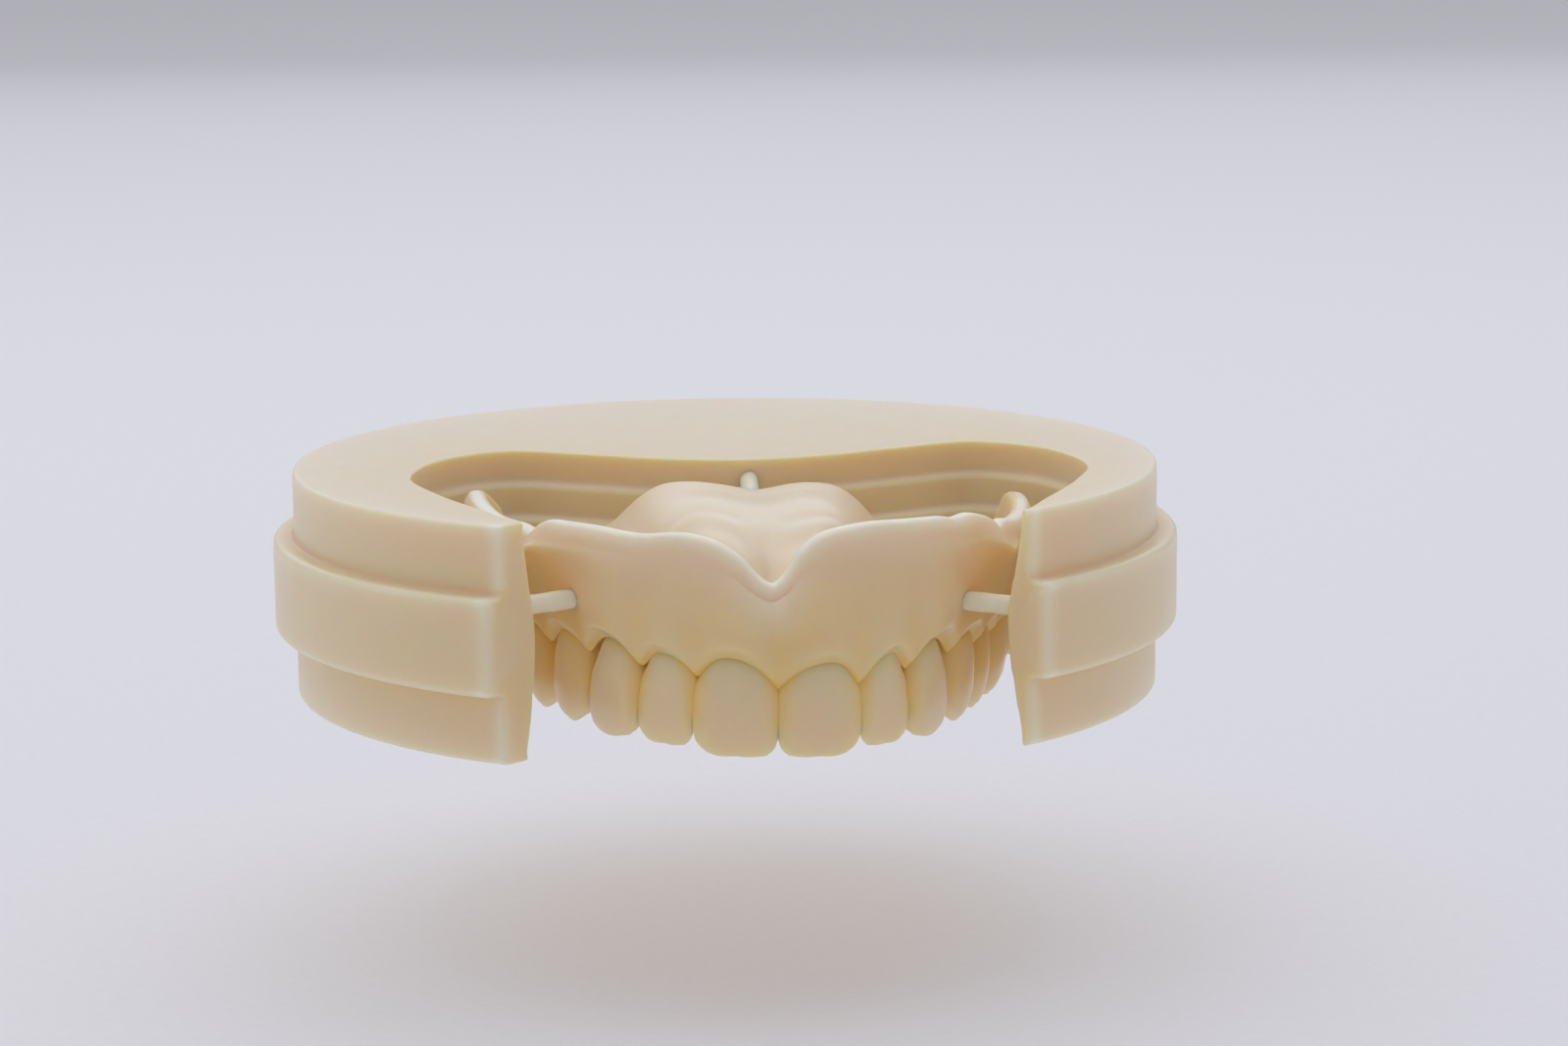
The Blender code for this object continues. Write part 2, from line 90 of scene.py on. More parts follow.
BORDER_HEIGHT = (
    (-58, 15.0), (-57, 16.8), (-56, 18.6), (-54, 20.3), (-51, 20.8), (-46, 20.7), (-38, 20.3),
    (-35.4, 20.4), (-33.5, 20.5), (-31.7, 20.35), (-30.7, 20.15), (-29.5, 20.85), (-28.4, 21.5),
    (-27, 21.95), (-22, 22.1), (-17, 21.8),
    (-13, 22.2), (-9, 21.7), (-5, 19.9), (-2.6, 18.0), (-0.8, 17.3), (0.8, 18.1), (3, 20.7), (6, 22.5),
    (9, 23.1), (14, 23.5), (20, 23.45), (22.3, 23.1), (24.2, 23.3), (26, 22.95), (28.8, 22.0), (30.4, 21.15),
    (32.5, 21.4), (34.8, 21.05), (37, 20.8), (42, 20.8), (48, 21.1), (51, 21.0),
    (53, 20.8), (54, 20.0), (55, 17.8), (56, 15.4), (58, 14.0),
)
BORDER_OFFSET = (
    (0, -4.4), (10, -3.7), (16, -1.7), (21, 0.2), (27, 1.9),
    (34, 2.6), (42, 3.2), (50, 2.5), (54, 1.5), (58, -1.8),
)
TROUGH_OFFSET = ((0, -7.4), (19, -5.4), (30, -3.4), (44, -2.6), (58, -2.2))
TROUGH_HEIGHT = ((0, 12.9), (19, 12.7), (44, 12.9), (58, 13.4))
GUM_OFFSET = ((0, 0.3), (10, 0.45), (17, 1.2), (23, 1.85), (30, 2.4), (44, 2.5), (54, 1.9), (58, 0.2))
PALATAL_OFFSET = ((0, -7.4), (19, -8.4), (30, -7.6), (44, -8.8), (58, -8.4))
ZENITH_HEIGHT = (
    (-58, 9.8), (-44, 9.4), (-30, 10.2), (-20, 11.0), (-12, 10.3), (-5, 10.4), (5, 10.0), (12, 10.3),
    (20, 11.0), (30, 10.2), (44, 9.4), (58, 9.8),
)
PAPILLA_HEIGHT = (
    (-58, 9.0), (-44, 8.0), (-22.7, 8.6), (-15.2, 8.3), (-8.6, 7.9), (0, 7.0), (8.6, 7.1), (15.2, 8.0),
    (22.7, 8.6), (44, 8.0), (58, 9.0),
)
ZENITH_SHIFT = 0.27
PALATE_HEIGHT = ((-27, 14.5), (-23, 17.6), (-18, 20.2), (-13, 21.2), (-8, 21.4), (-3.8, 21.9))
TOP_SLOPE = (
    (0.05, 1.0), (0.13, 1.02), (0.24, 1.04), (0.36, 0.99), (0.45, 0.82),
    (0.54, 0.52), (0.64, 0.29), (0.78, 0.1), (1.0, 0.0),
)
UNDER_SLOPE = ((0.36, 0.98), (0.52, 0.83), (0.7, 0.5), (0.87, 0.18), (1.0, 0.0))

# Teeth from the midline back: name, width, depth, tip height, form, bulge of the root above it.
TEETH = (
    ("central_incisor", 8.6, 6.6, 0.5, "incisor", 0.32),
    ("lateral_incisor", 6.6, 6.0, 1.2, "incisor", 0.22),
    ("canine", 7.5, 7.6, 0.9, "canine", 0.5),
    ("first_premolar", 6.9, 8.6, 0.9, "premolar", 0.22),
    ("second_premolar", 6.7, 8.6, 0.9, "premolar", 0.25),
    ("first_molar", 10.0, 10.6, 0.9, "molar", 0.3),
    ("second_molar", 9.5, 10.2, 1.7, "molar", 0.2),
)
ROOT_END = 12.0
FUSED = 1.07

# A crown from its tip (0) to its root end (1): share of height, width, then the offsets of its
# front face, its widest line and its palatal face, as shares of its depth.
CROWN_SECTIONS = {
    "incisor": (
        (0.0, 0.72, -0.02, -0.07, -0.12), (0.03, 0.82, 0.0, -0.08, -0.17), (0.09, 0.91, 0.02, -0.1, -0.24),
        (0.3, 1.0, 0.04, -0.16, -0.44), (0.5, 0.99, 0.04, -0.24, -0.66), (0.7, 0.8, 0.015, -0.33, -0.83),
        (0.86, 0.66, -0.06, -0.4, -0.9), (1.0, 0.5, -0.2, -0.46, -0.84),
    ),
    "canine": (
        (0.0, 0.66, 0.02, -0.06, -0.14), (0.04, 0.78, 0.06, -0.08, -0.23), (0.12, 0.9, 0.1, -0.13, -0.35),
        (0.32, 0.99, 0.145, -0.21, -0.57), (0.52, 0.97, 0.15, -0.28, -0.76), (0.7, 0.82, 0.12, -0.34, -0.86),
        (0.86, 0.69, 0.05, -0.4, -0.88), (1.0, 0.52, -0.1, -0.44, -0.8),
    ),
    "premolar": (
        (0.0, 0.56, 0.03, -0.2, -0.46), (0.05, 0.74, 0.09, -0.2, -0.55), (0.14, 0.88, 0.145, -0.22, -0.64),
        (0.38, 0.97, 0.2, -0.24, -0.72), (0.6, 0.92, 0.205, -0.25, -0.74), (0.8, 0.82, 0.165, -0.26, -0.73),
        (0.9, 0.74, 0.11, -0.27, -0.7), (1.0, 0.6, 0.01, -0.27, -0.62),
    ),
    "molar": (
        (0.0, 0.66, 0.09, -0.21, -0.5), (0.05, 0.8, 0.14, -0.21, -0.58), (0.14, 0.9, 0.185, -0.22, -0.64),
        (0.38, 0.97, 0.215, -0.24, -0.72), (0.6, 0.93, 0.215, -0.25, -0.74),
        (0.8, 0.85, 0.185, -0.26, -0.72), (0.9, 0.78, 0.13, -0.26, -0.68), (1.0, 0.66, 0.02, -0.27, -0.62),
    ),
}
CROWN_TAPER = {"incisor": 0.14, "canine": 0.16, "premolar": 0.06, "molar": 0.04}
CUSPS = {
    "canine": ((0.05, 0.0, 0.95, 9.0, 0.75),),
    "premolar": ((0.0, 0.8, 0.95, 0.62, 1.5), (0.0, -0.75, 0.85, 0.55, 1.15)),
    "molar": (
        (-0.55, 0.78, 0.55, 0.5, 1.35), (0.55, 0.78, 0.5, 0.5, 1.25),
        (-0.45, -0.7, 0.58, 0.55, 1.35), (0.65, -0.75, 0.42, 0.45, 0.95),
    ),
}

# Pins: name, end in the ring's wall, end in the base, radius.
PINS = (
    ("connector_front_left", (-26.7, -35.6, 15.1), (-18.5, -29.4, 14.9), 1.0),
    ("connector_front_right", (27.2, -34.8, 13.7), (19.1, -29.0, 13.6), 1.0),
    ("connector_rear", (0.3, 0.4, 22.2), (0.3, -5.6, 20.35), 0.95),
)

# Mesh resolution.
RING_COLUMNS = 420
SECTION_STEP = 0.36
CROWN_SIDES = 72
CROWN_ROWS = 40
CAP_ROWS = 12


def lerp(a, b, share):
    return a + (b - a) * share


def smooth_step(low, high, value):
    share = np.clip((np.asarray(value, float) - low) / (high - low), 0.0, 1.0)
    return share * share * (3 - 2 * share)


def along(stations, place):
    """A value read from (place, value) stations, on a smooth curve through them."""
    last = len(stations) - 1
    if place <= stations[0][0]:
        return stations[0][1]
    if place >= stations[last][0]:
        return stations[last][1]
    i = next(i for i in range(last) if place <= stations[i + 1][0])
    (x0, y0), (x1, y1) = stations[i], stations[i + 1]

    def slope(k):
        if k == 0 or k == last:
            return 0.0
        before = (stations[k][1] - stations[k - 1][1]) / (stations[k][0] - stations[k - 1][0])
        after = (stations[k + 1][1] - stations[k][1]) / (stations[k + 1][0] - stations[k][0])
        return 0.0 if before * after <= 0 else 2 * before * after / (before + after)

    t, span = (place - x0) / (x1 - x0), x1 - x0
    return (
        (2 * t**3 - 3 * t**2 + 1) * y0 + (t**3 - 2 * t**2 + t) * span * slope(i)
        + (3 * t**2 - 2 * t**3) * y1 + (t**3 - t**2) * span * slope(i + 1)
    )


def smooth_curves(points, steps):
    """Smooth curves through points of shape (curves, points, axes), with steps[i] samples on span i."""
    points = np.asarray(points, float)
    spans = np.diff(points, axis=1)
    widths = np.maximum(np.linalg.norm(spans, axis=2), 1e-6) ** 0.5
    rates = spans / widths[:, :, None]
    before, after = widths[:, :-1, None], widths[:, 1:, None]
    inner = (rates[:, :-1] * after + rates[:, 1:] * before) / (before + after)
    tangents = np.concatenate([rates[:, :1], inner, rates[:, -1:]], axis=1)
    found = []
    for i, count in enumerate(steps):
        t = (np.arange(count) / count)[None, :, None]
        a, b = points[:, i, None], points[:, i + 1, None]
        ta, tb = (tangents[:, k, None] * widths[:, i, None, None] for k in (i, i + 1))
        found.append(
            (2 * t**3 - 3 * t**2 + 1) * a + (t**3 - 2 * t**2 + t) * ta
            + (3 * t**2 - 2 * t**3) * b + (t**3 - t**2) * tb
        )
    return np.concatenate([*found, points[:, -1:]], axis=1)


def mesh_piece(name, points, faces, look, place=Matrix.Identity(4), painted_shade_and_highlight=None):
    """One mesh from points in millimetres.

    The last argument gives a value for each point: up to 1 for painted shade in deep orange-brown in
    grooves, creases and recesses, down to -1 for a pale painted highlight on edges and top faces.
    """
    mesh = bpy.data.meshes.new(name)
    mesh.from_pydata([tuple(p) for p in np.asarray(points, float)], [], faces)
    mesh.validate()
    mesh.transform(place)
    mesh.transform(Matrix.Scale(METRES, 4))
    attribute = mesh.attributes.new("painted_shade_and_highlight", "FLOAT", "POINT")
    values = np.zeros(len(mesh.vertices)) if painted_shade_and_highlight is None else np.asarray(painted_shade_and_highlight, float)
    attribute.data.foreach_set("value", values.astype(np.float32))
    work = bmesh.new()
    work.from_mesh(mesh)
    bmesh.ops.remove_doubles(work, verts=work.verts, dist=1e-6)
    bmesh.ops.recalc_face_normals(work, faces=work.faces)
    work.to_mesh(mesh)
    work.free()
    mesh.materials.append(look)
    mesh.shade_smooth()
    # The caps, which are the only faces with many corners, stay flat.
    for polygon in mesh.polygons:
        polygon.use_smooth = len(polygon.vertices) < 5
    piece = bpy.data.objects.new(name, mesh)
    bpy.context.scene.collection.objects.link(piece)
    return piece


def stands_for(piece, node):
    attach(piece, "root")
    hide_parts(node)


def grid_faces(rows, columns, closed_rows=False, closed_columns=False):
    """Quads of a grid whose point (row, column) has index row * columns + column."""
    faces = []
    for i in range(rows if closed_rows else rows - 1):
        for j in range(columns if closed_columns else columns - 1):
            a, b = i * columns + j, i * columns + (j + 1) % columns
            c, d = ((i + 1) % rows) * columns + (j + 1) % columns, ((i + 1) % rows) * columns + j
            faces.append((a, b, c, d))
    return faces


# Materials: one resin in four finishes, and the backdrop.


def node(tree, kind, **inputs):
    made = tree.nodes.new(kind)
    for key, value in inputs.items():
        made.inputs[key.replace("_", " ")].default_value = value
    return made


def noise(tree, coords, scale, detail=2.0, stretch=(1, 1, 1)):
    spread = node(tree, "ShaderNodeMapping", Scale=stretch)
    tree.links.new(coords, spread.inputs["Vector"])
    made = node(tree, "ShaderNodeTexNoise", Scale=scale, Detail=detail)
    tree.links.new(spread.outputs["Vector"], made.inputs["Vector"])
    return made.outputs["Fac"]


def ramp(tree, value, low, high, from_low=0.3, from_high=0.7):
    made = node(tree, "ShaderNodeMapRange")
    for key, number in (("From Min", from_low), ("From Max", from_high), ("To Min", low), ("To Max", high)):
        made.inputs[key].default_value = number
    tree.links.new(value, made.inputs["Value"])
    return made.outputs["Result"]


def blend(tree, share, first, second):
    made = tree.nodes.new("ShaderNodeMix")
    made.data_type = "RGBA"
    for socket, value in (("Factor_Float", share), ("A_Color", first), ("B_Color", second)):
        target = next(s for s in made.inputs if s.identifier == socket)
        if isinstance(value, (tuple, float)):
            target.default_value = value
        else:
            tree.links.new(value, target)
    return next(s for s in made.outputs if s.identifier == "Result_Color")


def bump(tree, height, distance, strength, normal=None):
    made = node(tree, "ShaderNodeBump", Strength=strength, Distance=distance)
    tree.links.new(height, made.inputs["Height"])
    if normal is not None:
        tree.links.new(normal, made.inputs["Normal"])
    return made.outputs["Normal"]


def resin(name, body, warm, deep, roughness, marks, glow=2.6):
    """A translucent ivory resin, with painted shade in a deep colour where the point values are positive and
    a pale painted highlight where they are negative.

    marks and glow are millimetres: the depth of the cutter marks, and how far light spreads inside.
    """
    made = bpy.data.materials.new(name)
    made.use_nodes = True
    tree = made.node_tree
    shader = tree.nodes["Principled BSDF"]
    coords = tree.nodes.new("ShaderNodeTexCoord").outputs["Object"]

    cloud = ramp(tree, noise(tree, coords, 55.0, 3.0), 0.0, 1.0)
    mottle = ramp(tree, noise(tree, coords, 420.0, 2.0), 0.0, 0.35)
    colour = blend(tree, cloud, (*body, 1.0), (*warm, 1.0))
    colour = blend(tree, mottle, colour, (*(0.5 * (a + b) for a, b in zip(body, warm)), 1.0))
    # Painted shade and painted highlight: the point values blend the colour towards deep orange-brown where
    # they are positive and towards pale ivory where they are negative.
    painted_mask = tree.nodes.new("ShaderNodeAttribute")
    painted_mask.attribute_name = "painted_shade_and_highlight"
    colour = blend(tree, painted_mask.outputs["Fac"], colour, (*deep, 1.0))
    highlight_share = ramp(tree, painted_mask.outputs["Fac"], 1.0, 0.0, -1.0, 0.0)
    colour = blend(tree, highlight_share, colour, (0.96, 0.9, 0.78, 1.0))
    tree.links.new(colour, shader.inputs["Base Color"])

    wear = noise(tree, coords, 260.0, 4.0)
    tree.links.new(ramp(tree, wear, roughness - 0.05, roughness + 0.06), shader.inputs["Roughness"])

    passes = noise(tree, coords, 1.0, 1.0, stretch=(60.0, 60.0, 2600.0))
    grain = noise(tree, coords, 2600.0, 3.0)
    swell = noise(tree, coords, 150.0, 2.0)
    normal = bump(tree, passes, marks * METRES, 0.5)
    normal = bump(tree, grain, 0.006 * METRES, 0.5, normal)
    normal = bump(tree, swell, 0.12 * METRES, 0.5, normal)
    tree.links.new(normal, shader.inputs["Normal"])

    shader.inputs["IOR"].default_value = 1.54
    shader.inputs["Sheen Weight"].default_value = 0.1
    shader.inputs["Sheen Roughness"].default_value = 0.4
    shader.inputs["Coat Weight"].default_value = 0.35
    shader.inputs["Coat Roughness"].default_value = 0.28
    shader.inputs["Subsurface Weight"].default_value = 1.0
    shader.inputs["Subsurface Radius"].default_value = (1.0, 0.62, 0.24)
    reach = ramp(tree, painted_mask.outputs["Fac"], glow * METRES, 0.02 * glow * METRES, 0.2, 0.8)
    tree.links.new(reach, shader.inputs["Subsurface Scale"])
    shader.inputs["Subsurface Anisotropy"].default_value = 0.2
    return made


def floor_paper():
    made = bpy.data.materials.new("backdrop_paper")
    made.use_nodes = True
    tree = made.node_tree
    shader = tree.nodes["Principled BSDF"]
    coords = tree.nodes.new("ShaderNodeTexCoord").outputs["Object"]
    fibre = ramp(tree, noise(tree, coords, 900.0, 3.0), 0.0, 1.0)
    colour = blend(tree, fibre, (0.56, 0.55, 0.565, 1.0), (0.58, 0.57, 0.585, 1.0))
    tree.links.new(colour, shader.inputs["Base Color"])
    # The paper glows, brightest under the object and fading towards the back: a painted glow that lightens
    # the object's shadow.
    depth = tree.nodes.new("ShaderNodeSeparateXYZ")
    tree.links.new(coords, depth.inputs["Vector"])
    floor_glow = ramp(tree, depth.outputs["Y"], 0.255, 0.19, 1.1, 3.2)
    tree.links.new(floor_glow, shader.inputs["Emission Strength"])
    shader.inputs["Emission Color"].default_value = (0.96, 0.95, 1.0, 1.0)
    shader.inputs["Roughness"].default_value = 0.9
    shader.inputs["Specular IOR Level"].default_value = 0.2
    return made


# The ring of the disc that is left round the pocket.


def cut_line(side):
    """A saw cut in plan: its corner on the flange's edge, and its direction into the disc."""
    turn = math.radians(LEFT_CUT_DEG if side < 0 else RIGHT_CUT_DEG)
    corner = np.array((side * FLANGE_RADIUS * math.sin(turn), -FLANGE_RADIUS * math.cos(turn)))
    face = math.radians(CUT_FACE_DEG)
    return corner, np.array((-side * math.cos(face), math.sin(face)))


def between_cuts(line):
    """The stretch of a plan line, from left front round the back to right front, between the cuts."""

    def crossing(order, side):
        corner, into = cut_line(side)
        across = np.array((-into[1], into[0]))
        away = (line - corner) @ across
        reach = (line - corner) @ into
        for i in order:
            if away[i] * away[i + 1] <= 0 and abs(reach[i]) < 25 and away[i] != away[i + 1]:
                return i, line[i] + (line[i + 1] - line[i]) * away[i] / (away[i] - away[i + 1])
        raise ValueError("a line of the ring misses a saw cut")

    count = len(line) - 1
    first, left = crossing(range(count // 2), -1)
    last, right = crossing(range(count - 1, count // 2, -1), 1)
    return np.vstack([left, line[first + 1 : last + 1], right])


def placed(line, stops):
    """Points on a line at the distances that stops gives for its length."""
    reach = np.concatenate([[0.0], np.cumsum(np.linalg.norm(np.diff(line, axis=0), axis=1))])
    goals = stops(reach[-1])
    return np.column_stack([np.interp(goals, reach, line[:, axis]) for axis in (0, 1)])


def disc_circle(radius):
    turns = np.radians(-90) - np.linspace(0, math.tau, 1441)
    return np.column_stack([radius * np.cos(turns), radius * np.sin(turns)])


def pocket_base():
    """The pocket's outline in plan and its inward normals, from left front round the back."""
    half = np.array(POCKET_OUTLINE, float)
    left = half[:0:-1] * (-1, 1)
    outline = np.vstack([left, half])
    line = smooth_curves(outline[None], [40] * (len(outline) - 1))[0] + (MIDLINE_X, 0)
    run = np.gradient(line, axis=0)
    run /= np.linalg.norm(run, axis=1)[:, None]
    return line, np.column_stack([run[:, 1], -run[:, 0]])


def wall_inset(height, share):
    """How far the pocket's wall stands in at a height, for shares of the way round from left to right."""
    middle = DISC_HEIGHT / 2
    mirrored = middle + abs(height - middle)
    ledges = sum(depth * (1 - smooth_step(z - 0.42, z + 0.42, mirrored)) for z, depth in BACK_LEDGES)
    bulge = lerp(along(LEFT_WALL, height), along(RIGHT_WALL, height), share)
    back = smooth_step(0.1, 0.24, share) * (1 - smooth_step(0.76, 0.9, share))
    return lerp(bulge + 0.12 * ledges, ledges, back)


def corner_arc(before, corner, after, radius, steps=7):
    """A rounded corner of an outline, as points on an arc."""
    before, corner, after = (np.array(p, float) for p in (before, corner, after))
    to_before = (before - corner) / np.linalg.norm(before - corner)
    to_after = (after - corner) / np.linalg.norm(after - corner)
    half = math.acos(np.clip(to_before @ to_after, -1, 1)) / 2
    middle = (to_before + to_after) / np.linalg.norm(to_before + to_after)
    centre = corner + middle * radius / math.sin(half)
    start = corner + to_before * radius / math.tan(half)
    end = corner + to_after * radius / math.tan(half)
    first, last = start - centre, end - centre
    sweep = math.acos(np.clip(first @ last / radius**2, -1, 1))
    points = []
    for k in range(steps + 1):
        t = k / steps
        turned = first * math.sin((1 - t) * sweep) + last * math.sin(t * sweep)
        points.append(centre + turned / math.sin(sweep))
    return points


def ring_outside():
    """The outside of the ring's section from the bottom up: (radius, height, rounding at the cuts)."""
    low, high, s, f = 0.0, DISC_HEIGHT, SHOULDER_RADIUS, FLANGE_RADIUS
    corners = [
        (s - 3, low), (s, low), (s, FLANGE_BOTTOM), (f, FLANGE_BOTTOM),
        (f, FLANGE_TOP), (s, FLANGE_TOP), (s, high), (s - 3, high),
    ]
    fillets = (0.42, 0.45, 0.75, 0.75, 0.45, 0.42)
    rounded = (0.9, 0.5, 1.25, 0.5, 0.9)
    points = []
    for i, fillet in enumerate(fillets):
        arc = corner_arc(corners[i], corners[i + 1], corners[i + 2], fillet)
        if points:
            last = points[-1][:2]
            for share in (0.04, 0.1, 0.2, 0.35, 0.5, 0.65, 0.8, 0.9, 0.96):
                points.append((*lerp(np.array(last), arc[0], share), rounded[i - 1]))
        points += [(*point, 0.9 * fillet) for point in arc]
    support = (s - fillets[0] - 0.03, 0.2)
    return [(support[0], low, support[1]), *points, (support[0], high, support[1])]


def end_widths(end, outer_count):
    """How wide the ring's end face is at each row of its outline."""
    outer, wall = end[:outer_count], end[outer_count:][::-1]
    corner = outer[1, :2]
    facing = np.column_stack([np.interp(end[:, 2], wall[:, 2], wall[:, axis]) for axis in (0, 1)])
    widths = np.linalg.norm(facing - corner, axis=1)
    widths[:outer_count] = np.linalg.norm(facing[:outer_count] - outer[:, :2], axis=1)
    return widths


# The outside's convex edges, as (radius, height). A pale painted highlight runs along them.
RING_EDGES = (
    (SHOULDER_RADIUS, 0.0), (FLANGE_RADIUS, FLANGE_BOTTOM),
    (FLANGE_RADIUS, FLANGE_TOP), (SHOULDER_RADIUS, DISC_HEIGHT),
)


def build_ring(look):
    rim, ends = 0.25, 1.25
    end_stops = [ends * (1 - math.sin(math.radians(a))) for a in range(90, -1, -9)]

    def stops(length):
        middle = np.linspace(ends, length - ends, RING_COLUMNS)[1:-1]
        return np.concatenate([end_stops, middle, length - np.array(end_stops[::-1])])

    rows, rounding, depth = [], [], []
    outside = ring_outside()
    for radius, height, rounded in outside:
        flat = placed(between_cuts(disc_circle(radius)), stops)
        rows.append(np.column_stack([flat, np.full(len(flat), height)]))
        rounding.append(rounded)
        # Painted shade in the corners under and over the flange, less a pale painted highlight along the
        # convex edges.
        below = math.hypot(radius - SHOULDER_RADIUS, height - FLANGE_BOTTOM)
        above = math.hypot(radius - SHOULDER_RADIUS, height - FLANGE_TOP)
        edge = min(math.hypot(radius - r, height - z) for r, z in RING_EDGES)
        painted_shade_in_corners = 0.5 * math.exp(-below / 1.1) + 0.4 * math.exp(-above / 0.6)
        depth.append(painted_shade_in_corners - 0.5 * math.exp(-edge / 1.0))
    line, inward = pocket_base()
    share = np.linspace(0, 1, len(line))
    heights = [DISC_HEIGHT - rim + rim * math.cos(math.radians(a)) for a in range(0, 91, 15)]
    insets = [-rim * (1 - math.sin(math.radians(a))) for a in range(0, 91, 15)]
    levels = [(DISC_HEIGHT, -rim - 0.03), *zip(heights, insets)]
    wall = [(z, 0.0) for z in np.linspace(DISC_HEIGHT - rim, rim, 84)[1:-1]]
    levels += wall + [(DISC_HEIGHT - z, inset) for z, inset in reversed(levels)]
    for height, inset in levels:
        moved = line + inward * (wall_inset(height, share) + inset)[:, None]
        flat = placed(between_cuts(moved), stops)
        rows.append(np.column_stack([flat, np.full(len(flat), height)]))
        rounding.append(min(0.5, 0.8 * rim + 0.6 * max(0.0, min(height, DISC_HEIGHT - height) - rim)))
        depth.append(0.0)
    grid = np.array(rows).transpose(1, 0, 2)
    columns, size = grid.shape[:2]

    section = np.roll(grid, -1, axis=1) - np.roll(grid, 1, axis=1)
    for side, order in ((-1, range(columns)), (1, range(columns - 1, -1, -1))):
        _, cut = cut_line(side)
        across = np.array((-cut[1], cut[0], 0.0))
        radius = np.minimum(rounding, 0.3 * end_widths(grid[order[0]], len(outside)))
        for column, distance in zip(order, end_stops):
            left = np.clip(radius - distance, 0, None)
            inset = radius - np.sqrt(np.maximum(radius**2 - left**2, 0))
            into = np.cross(across, section[column])
            into /= np.maximum(np.linalg.norm(into, axis=1), 1e-9)[:, None]
            grid[column] += into * inset[:, None]

    faces = grid_faces(columns, size, closed_columns=True)
    faces += [tuple(reversed(range(size))), tuple((columns - 1) * size + j for j in range(size))]
    # A pale painted highlight along the outside, a little in from each cut end.
    from_cut = np.minimum(*(np.linalg.norm(grid - end, axis=2) for end in (grid[0], grid[-1])))
    on_outside = np.arange(size) < len(outside)
    painted_highlight_at_cuts = 0.45 * np.exp(-(((from_cut - 1.1) / 0.8) ** 2)) * on_outside
    painted_shade_and_highlight = (np.array(depth) - painted_highlight_at_cuts).ravel()
    points = grid.reshape(-1, 3)
    piece = mesh_piece("milled_disc_ring", points, faces, look, Matrix.Translation(DISC_AXIS), painted_shade_and_highlight)
    stands_for(piece, "disc_ring")


# The arch that the teeth and the base follow.


def make_arch():
    """The arch as (distance, x, y), from the midline along one half."""
    x = np.linspace(0, 32.0, 1601)
    y = ARCH_FRONT + ARCH_DEPTH * (1 - (1 - (x / ARCH_HALF_WIDTH) ** ARCH_POWER) ** (1 / ARCH_POWER))
    reach = np.concatenate([[0.0], np.cumsum(np.hypot(np.diff(x), np.diff(y)))])
    return reach, x, y


ARCH = make_arch()


def arch_place(s):
    """The arch's points in plan at distances from the midline, negative to the left."""
    s = np.asarray(s, float)
    reach, x, y = ARCH
    return np.stack([np.copysign(np.interp(abs(s), reach, x), s), np.interp(abs(s), reach, y)], axis=-1)


def tooth_edges():
    return np.concatenate([[0.0], np.cumsum([tooth[1] for tooth in TEETH])])


def denture_matrix():
    shift = Vector((MIDLINE_X + ARCH_FRONT * math.sin(math.radians(NESTING_TURN_DEG)), 0, 0))
    turn = Euler((0, math.radians(NESTING_TILT_DEG), math.radians(NESTING_TURN_DEG))).to_matrix().to_4x4()
    return Matrix.Translation(DISC_AXIS + shift) @ turn


# The teeth.


def crown_relief(form, x, y, side):
    """How far above the tip the chewing surface lies, at places from -1 to 1 each way."""
    if form == "incisor":
        return 0.65 * np.maximum(0.0, x * side) ** 4 + 0.3 * abs(x) ** 6 + 0.03 * np.cos(x * 9.0)
    cusps = CUSPS[form]
    peak = max(height for *_, height in cusps)
    rises = [
        height * np.exp(-(((x - cx * side) / wide) ** 2) - ((y - cy) / deep) ** 2)
        for cx, cy, wide, deep, height in cusps
    ]
    rise = np.log(sum(np.exp(6 * r) for r in rises)) / 6 - math.log(len(rises)) / 6
    return peak - rise


def crown_ring(tooth, share, shrink=1.0):
    """A crown's section: offsets across and out from its middle, and where they lie from -1 to 1."""
    _, width, depth, _, form, _ = tooth
    stations = CROWN_SECTIONS[form]
    wide, front, centre, back = (
        along([(row[0], row[k]) for row in stations], share) for k in (1, 2, 3, 4)
    )
    turns = math.tau * (np.arange(CROWN_SIDES) + 0.5) / CROWN_SIDES
    power = lerp(0.78, 1.0, min(1.0, share * 1.6))
    x = np.copysign(abs(np.cos(turns)) ** power, np.cos(turns)) * shrink
    y = np.copysign(abs(np.sin(turns)) ** power, np.sin(turns)) * shrink
    reach = np.where(y > 0, front - centre, centre - back) * depth
    narrow = 1 + CROWN_TAPER[form] * (y - 0.3)
    lobes = 0.0
    if form in ("incisor", "canine"):
        face = smooth_step(0.02, 0.2, share) * (1 - smooth_step(0.45, 0.75, share))
        lobes = 0.1 * face * np.exp(-(((abs(x) - 0.6) / 0.17) ** 2)) * smooth_step(0.5, 0.95, y)
    across = np.clip(x * width / 2 * FUSED * wide * narrow, -width / 2, width / 2)
    return across, y * reach + centre * depth + lobes, x, y


def crown_plan(middle, across, out):
    ahead = arch_place(middle + 0.5) - arch_place(middle - 0.5)
    ahead /= np.linalg.norm(ahead)
    outward = np.array((ahead[1], -ahead[0]))
    return arch_place(middle) + across[:, None] * ahead + out[:, None] * outward


def crown_shares():
    """Heights of the crown's rings, closer together at the tip."""
    return np.linspace(0, 1, CROWN_ROWS) ** 1.5


